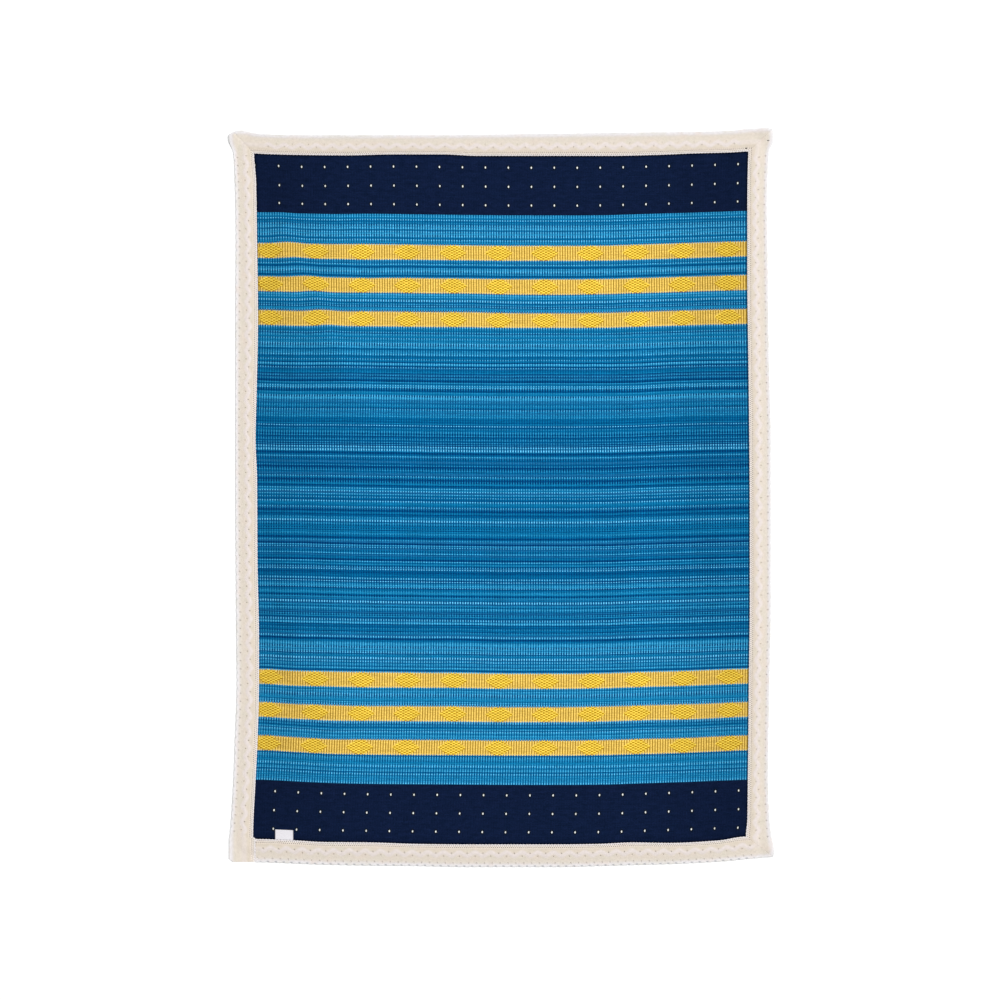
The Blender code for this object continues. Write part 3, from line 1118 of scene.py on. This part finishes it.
def cut_off(mesh, keep, start, end):
    """Cuts a mesh along the line from start to end, and keeps the side of it that a given point lies on."""
    out = (end[1] - start[1], start[0] - end[0], 0.0)
    if (keep[0] - start[0]) * out[0] + (keep[1] - start[1]) * out[1] > 0.0:
        out = (-out[0], -out[1], 0.0)
    bmesh.ops.bisect_plane(
        mesh,
        geom=mesh.verts[:] + mesh.edges[:] + mesh.faces[:],
        plane_co=(start[0], start[1], 0.0),
        plane_no=out,
        clear_outer=True,
        dist=1e-6,
    )


def trim_piece(strip, material):
    """A strip of lace trim laid along one side of the panel, with its ends cut, then given its thickness."""
    step = strip.repeat / COLUMNS_PER_REPEAT
    first = math.floor((strip.start - strip.crest) / step)
    columns = math.ceil((strip.end - strip.crest) / step) - first
    lines = len(TRIM_LINES) - 1
    piece, u, v = flat_grid(strip.name, columns, lines)
    grid_column = np.rint(u * columns).astype(int) + first
    grid_line = np.rint(v * lines).astype(int)
    along = strip.crest + grid_column * step
    across = np.array(TRIM_LINES)[grid_line] * MM
    from_start = along - strip.start - strip.plain[0]
    from_end = strip.end - strip.plain[1] - along
    strength = ease(from_start / PATTERN_FADE) * ease(from_end / PATTERN_FADE)
    gone, rim_painted_shade = open_holes(strip, grid_column.tolist(), grid_line.tolist(), along, across, strength)
    measure = (along - strip.crest) * strip.turn * REPEAT / strip.repeat

    # picots along the inner edge and scallops along the outer one
    picots = PICOT_HEIGHT * MM * np.cos(TAU * measure * PICOTS_PER_REPEAT / REPEAT)
    hollow = 1.0 - np.abs(np.cos(TAU * measure / REPEAT))
    scallops = -SCALLOP_DEPTH * MM * hollow * strength * strip.open.edging
    laid = across + np.where(grid_line == 0, picots, 0.0) + np.where(grid_line >= lines - 1, scallops, 0.0)
    share = laid / TRIM_WIDTH
    inner = edge(strip.side, "inner", along)
    outer = edge(strip.side, "outer", along)
    level = lerp(inner, outer, share)
    x, y = (level, along) if strip.upright else (along, level)
    z = trim_lift(x, y) + trim_relief(measure, across, strength)
    open_spots(x, y, lambda i: (i - 1, i + 1, i - columns - 1, i + columns + 1), gone)
    lay_out(piece, x, y, z)
    map_cloth(piece, measure, across)
    # how strong the painted shadow under this strip's scallops is
    write_values(piece, "gap_shadow_share", strength * strip.open.gaps)
    write_values(piece, "hole_rim_painted_shade", rim_painted_shade)
    write_values(piece, "pattern", strength)
    # the painted light level of this strip's side
    write_values(piece, "tone", np.full(len(x), strip.tone))

    mesh = bmesh.new()
    mesh.from_mesh(piece.data)
    mesh.verts.ensure_lookup_table()
    bmesh.ops.delete(mesh, geom=[mesh.verts[i] for i in gone], context="VERTS")
    for start, end in CUTS[strip.node]:
        cut_off(mesh, (np.mean(x), np.mean(y)), start, end)
    mesh.to_mesh(piece.data)
    mesh.free()
    if piece.data.polygons[0].normal.z < 0.0:
        piece.data.flip_normals()
    thicken(piece, TRIM_BODY)
    apply_modifiers(piece)
    bpy.ops.object.shade_smooth()
    piece.data.materials.append(material)
    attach(piece, "root")
    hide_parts(strip.node)


# The blank label: its size, where its left edge lies, its thickness, its grid and how it curls, all in metres
LABEL_WIDTH = 0.0370
LABEL_LENGTH = 0.0205
LABEL_LEFT = -0.4646
LABEL_THICKNESS = 0.0008
LABEL_GRID = (24, 14)
LABEL_CURL = 0.0008
LABEL_WAVE = 0.0003
LABEL_TILT = 0.0003

LABEL_ROUGHNESS = 0.6
LABEL_SHEEN = 0.05
LABEL_BORDER = (0.0018, 0.0012)
LABEL_WHITE = (250, 247, 252)
LABEL_EDGE = (226, 222, 228)
LABEL_THREADS = Patches(2600.0, 900.0, 2.0, 0.3, 0.7, 0.0, 0.25)
LABEL_SHADE = (222, 218, 224)
LABEL_WEAVE = 0.0006
LABEL_RELIEF = (0.4, 0.0002)


def label_finish():
    """White woven tape with a slightly darker edge at each side."""
    tape = Finish("woven_tape", LABEL_ROUGHNESS, LABEL_SHEEN)
    across, along = tape.cloth_place()
    edge_in = tape.maths("MINIMUM", across, tape.maths("SUBTRACT", LABEL_WIDTH, across))
    colour = tape.mix(tape.scaled(edge_in, *LABEL_BORDER), seen(*LABEL_WHITE), seen(*LABEL_EDGE))
    colour = tape.mix(tape.uneven(across, along, LABEL_THREADS), colour, seen(*LABEL_SHADE))
    tape.feed(tape.shader.inputs["Base Color"], colour)
    weave = tape.maths("MULTIPLY", tape.wave(across, LABEL_WEAVE), tape.wave(along, LABEL_WEAVE))
    tape.bump(weave, *LABEL_RELIEF)
    return tape.material


def label_piece():
    """The blank label, which lies on the panel and ends at the bottom trim."""
    piece, u, v = flat_grid("blank_label", *LABEL_GRID)
    x = LABEL_LEFT + LABEL_WIDTH * u
    trim_y = edge(BOTTOM, "inner", x) + CLEARANCE
    y = trim_y + LABEL_LENGTH * v
    curl = LABEL_CURL * v**3 + LABEL_WAVE * np.sin(TAU * u) * v
    z = PANEL_THICKNESS + CLEARANCE + curl + LABEL_TILT * v
    lay_out(piece, x, y, z)
    map_cloth(piece, LABEL_WIDTH * u, LABEL_LENGTH * v)
    thicken(piece, LABEL_THICKNESS)
    apply_modifiers(piece)
    bpy.ops.object.shade_smooth()
    piece.data.materials.append(label_finish())
    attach(piece, "root")
    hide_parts("label")
    return piece


# The floor, the soft studio light and the camera above the blanket: sizes and places in metres, sensor and
# lens in millimetres
FLOOR_SIZE = 30.0
WHITE = (1.0, 1.0, 1.0, 1.0)
WORLD_LIGHT = 0.62
SOFTBOX_SIZE = 7.5
SOFTBOX_ENERGY = 1410.0
SOFTBOX_PLACE = (7.0, 5.0, 11.5)
SENSOR = 36.0
LENS = 85.0
VIEW_WIDTH = 2.055
VIEW_MIDDLE = (-0.0029, -0.0047)


def lay_floor():
    """A plain white floor."""
    only_active(panel)
    bpy.ops.mesh.primitive_plane_add(size=FLOOR_SIZE)
    floor = bpy.context.object
    floor.name = "floor"
    paper = bpy.data.materials.new("white_paper")
    paper.use_nodes = True
    shader = paper.node_tree.nodes["Principled BSDF"]
    shader.inputs["Base Color"].default_value = WHITE
    shader.inputs["Roughness"].default_value = 1.0
    shader.inputs["Specular IOR Level"].default_value = 0.0
    floor.data.materials.append(paper)


def light_studio(scene):
    """Even light from all round, and a large softbox that looks at the blanket."""
    world = bpy.data.worlds.new("soft_studio")
    scene.world = world
    world.use_nodes = True
    world.node_tree.nodes["Background"].inputs["Color"].default_value = WHITE
    world.node_tree.nodes["Background"].inputs["Strength"].default_value = WORLD_LIGHT
    softbox = bpy.data.lights.new("softbox", "AREA")
    softbox.shape = "SQUARE"
    softbox.size = SOFTBOX_SIZE
    softbox.energy = SOFTBOX_ENERGY
    lamp = bpy.data.objects.new("softbox", softbox)
    scene.collection.objects.link(lamp)
    lamp.location = SOFTBOX_PLACE
    direction = np.array(lamp.location)
    lamp.rotation_euler = (
        math.acos(direction[2] / np.linalg.norm(direction)),
        0.0,
        math.atan2(direction[1], direction[0]) + 0.5 * math.pi,
    )


def set_camera(scene):
    """A camera that looks straight down."""
    view = bpy.data.cameras.new("camera")
    view.sensor_width = SENSOR
    view.lens = LENS
    camera = bpy.data.objects.new("camera", view)
    scene.collection.objects.link(camera)
    camera.location = (*VIEW_MIDDLE, VIEW_WIDTH * LENS / SENSOR)
    scene.camera = camera
    scene.view_settings.view_transform = "Standard"
    scene.view_settings.look = "None"


panel = panel_piece()
lace = trim_finish()
for strip in STRIPS:
    trim_piece(strip, lace)
label = label_piece()
lay_floor()
light_studio(bpy.context.scene)
set_camera(bpy.context.scene)
